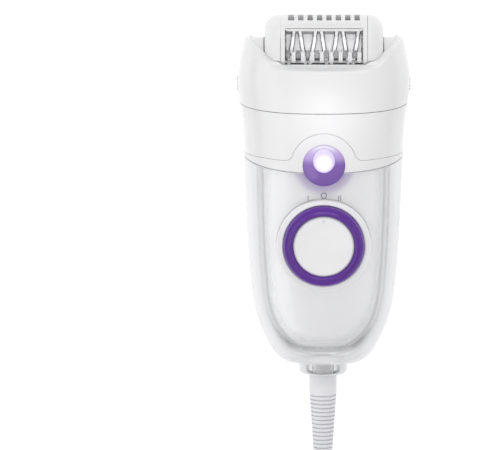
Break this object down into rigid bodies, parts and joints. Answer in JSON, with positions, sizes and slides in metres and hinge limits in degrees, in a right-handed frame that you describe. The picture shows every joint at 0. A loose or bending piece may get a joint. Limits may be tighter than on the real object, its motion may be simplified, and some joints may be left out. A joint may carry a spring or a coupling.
{
  "type": "epilator",
  "caption": "Corded hand-held epilator with a tweezer drum under a comb and roller cap, a detachable head, a lamp, a speed dial and a coiled low-voltage cord.",
  "frame": {"origin": "centre of the base of the box round everything but the cord set; the epilator lies on its back", "axes": "+X to the right seen from the front, +Y along the body towards the head, +Z out of the front face"},
  "size_m": [0.0938, 0.2426, 0.0401],
  "materials": {
    "gloss_white": "glossy white moulding",
    "gloss_white_band": "glossy white moulding",
    "clear": "clear moulded plastic, glossy",
    "core_white": "smooth white under a clear shell",
    "soft_white": "satin white plastic",
    "purple": "deep purple, polished",
    "lilac": "purple, polished",
    "lens": "frosted white, lit",
    "disc_grey": "light grey plastic",
    "steel": "bright steel",
    "brass": "turned brass",
    "can": "drawn steel can",
    "black": "black moulding",
    "gear": "natural acetal",
    "board": "green circuit board",
    "parts": "dark board parts",
    "led": "clear lamp dome",
    "wire": "insulated leads",
    "cord": "light grey-white flexible lead",
    "relief": "light grey-white moulding",
    "roller": "grey roller",
    "nickel": "nickel plated",
    "frame": "grey-white structural plastic",
    "adapter": "satin white plastic"
  },
  "bodies": {
    "housing": {"rear_shell": "gloss_white", "clear_shell": "clear", "inner_panel": "core_white", "light_panel": "gloss_white_band", "upper_housing": "gloss_white_band", "housing_screws": "steel", "end_ring": "clear", "inlet_socket": "soft_white", "inlet_pins": "nickel", "light_bezel": "lilac", "light_lens": "lens", "lamp_diode": "led", "circuit_board": "board", "board_parts": "parts", "switch_body": "black", "internal_leads": "wire", "dial_collar": "soft_white", "detent_spring": "steel", "motor_can": "can", "motor_end_cap": "black", "gear_frame": "frame", "drive_deck": "frame"},
    "dial": {"dial_ring": "purple", "dial_disc": "soft_white", "dial_hub": "frame"},
    "switch": {"switch_slider": "black"},
    "rotor": {"motor_shaft": "steel", "motor_pinion": "brass"},
    "cross": {"cross_shaft": "steel", "crown_gear": "gear", "cross_gear": "gear"},
    "output": {"output_gear": "gear"},
    "head": {"head_housing": "gloss_white", "shoulder_insert": "soft_white", "head_frame": "frame", "head_base": "frame", "head_screws": "steel", "drum_bushes": "brass", "button_spring_left": "steel", "button_spring_right": "steel"},
    "idler": {"idler_gear": "gear"},
    "drum": {"drum_axle": "steel", "drum_core": "frame", "tweezer_discs": "disc_grey", "tweezer_blades": "nickel", "drum_gear": "gear"},
    "cap": {"cap_frame": "soft_white", "cap_wing_left": "soft_white", "cap_wing_right": "soft_white"},
    "roller_front": {"front_roller": "roller"},
    "roller_rear": {"rear_roller": "roller"},
    "button_left": {"release_button_left": "gloss_white"},
    "button_right": {"release_button_right": "gloss_white"},
    "cord_set": {"strain_relief": "relief", "cord_lead": "cord", "cord_coil": "cord", "cord_tie": "black", "cord_tail": "cord", "adapter_case": "adapter", "adapter_pins": "nickel"}
  },
  "joints": [
    {"name": "drum_spin", "type": "hinge", "parent": "head", "child": "drum", "pos_m": [0, 0.05355, 0.024], "axis": [1, 0, 0], "continuous": true},
    {"name": "head_pull", "type": "slide", "parent": "housing", "child": "head", "axis": [0, 1, 0], "range_m": [0, 0.015]},
    {"name": "cap_pull", "type": "slide", "parent": "head", "child": "cap", "axis": [0, 1, 0], "range_m": [0, 0.014]},
    {"name": "front_roller_spin", "type": "hinge", "parent": "cap", "child": "roller_front", "pos_m": [0, 0.05168, 0.0328], "axis": [1, 0, 0], "continuous": true},
    {"name": "rear_roller_spin", "type": "hinge", "parent": "cap", "child": "roller_rear", "pos_m": [0, 0.0625, 0.02494], "axis": [1, 0, 0], "continuous": true},
    {"name": "idler_spin", "type": "hinge", "parent": "head", "child": "idler", "pos_m": [0, 0.04476, 0.01773], "axis": [1, 0, 0], "continuous": true},
    {"name": "output_spin", "type": "hinge", "parent": "housing", "child": "output", "pos_m": [0, 0.03436, 0.01794], "axis": [1, 0, 0], "continuous": true},
    {"name": "cross_spin", "type": "hinge", "parent": "housing", "child": "cross", "pos_m": [0, 0.02545, 0.0134], "axis": [1, 0, 0], "continuous": true},
    {"name": "motor_spin", "type": "hinge", "parent": "housing", "child": "rotor", "pos_m": [0, -0.00405, 0.0134], "axis": [0, 1, 0], "continuous": true},
    {"name": "dial_turn", "type": "hinge", "parent": "housing", "child": "dial", "pos_m": [0, -0.01505, 0.035], "axis": [0, 0, 1], "range_deg": [-18.6, 18.6]},
    {"name": "switch_slide", "type": "slide", "parent": "housing", "child": "switch", "axis": [-1, 0, 0], "range_m": [-0.00196, 0.00196]},
    {"name": "release_left_press", "type": "slide", "parent": "head", "child": "button_left", "axis": [1, 0, 0], "range_m": [0, 0.0012], "stiffness_N_per_m": 900, "springref_m": -0.0006, "deforming": ["button_spring_left"]},
    {"name": "release_right_press", "type": "slide", "parent": "head", "child": "button_right", "axis": [-1, 0, 0], "range_m": [0, 0.0012], "stiffness_N_per_m": 900, "springref_m": -0.0006, "deforming": ["button_spring_right"]},
    {"name": "connector_pull", "type": "slide", "parent": "housing", "child": "cord_set", "axis": [0, -1, 0], "range_m": [0, 0.014]}
  ],
  "couplings": [
    {"joint": "idler_spin", "follows": "drum_spin", "ratio": -1.25},
    {"joint": "output_spin", "follows": "drum_spin", "ratio": 1.0714},
    {"joint": "cross_spin", "follows": "drum_spin", "ratio": -1.3636},
    {"joint": "motor_spin", "follows": "drum_spin", "ratio": -2.7273},
    {"joint": "switch_slide", "follows": "dial_turn", "m_per_rad": 0.006}
  ]
}
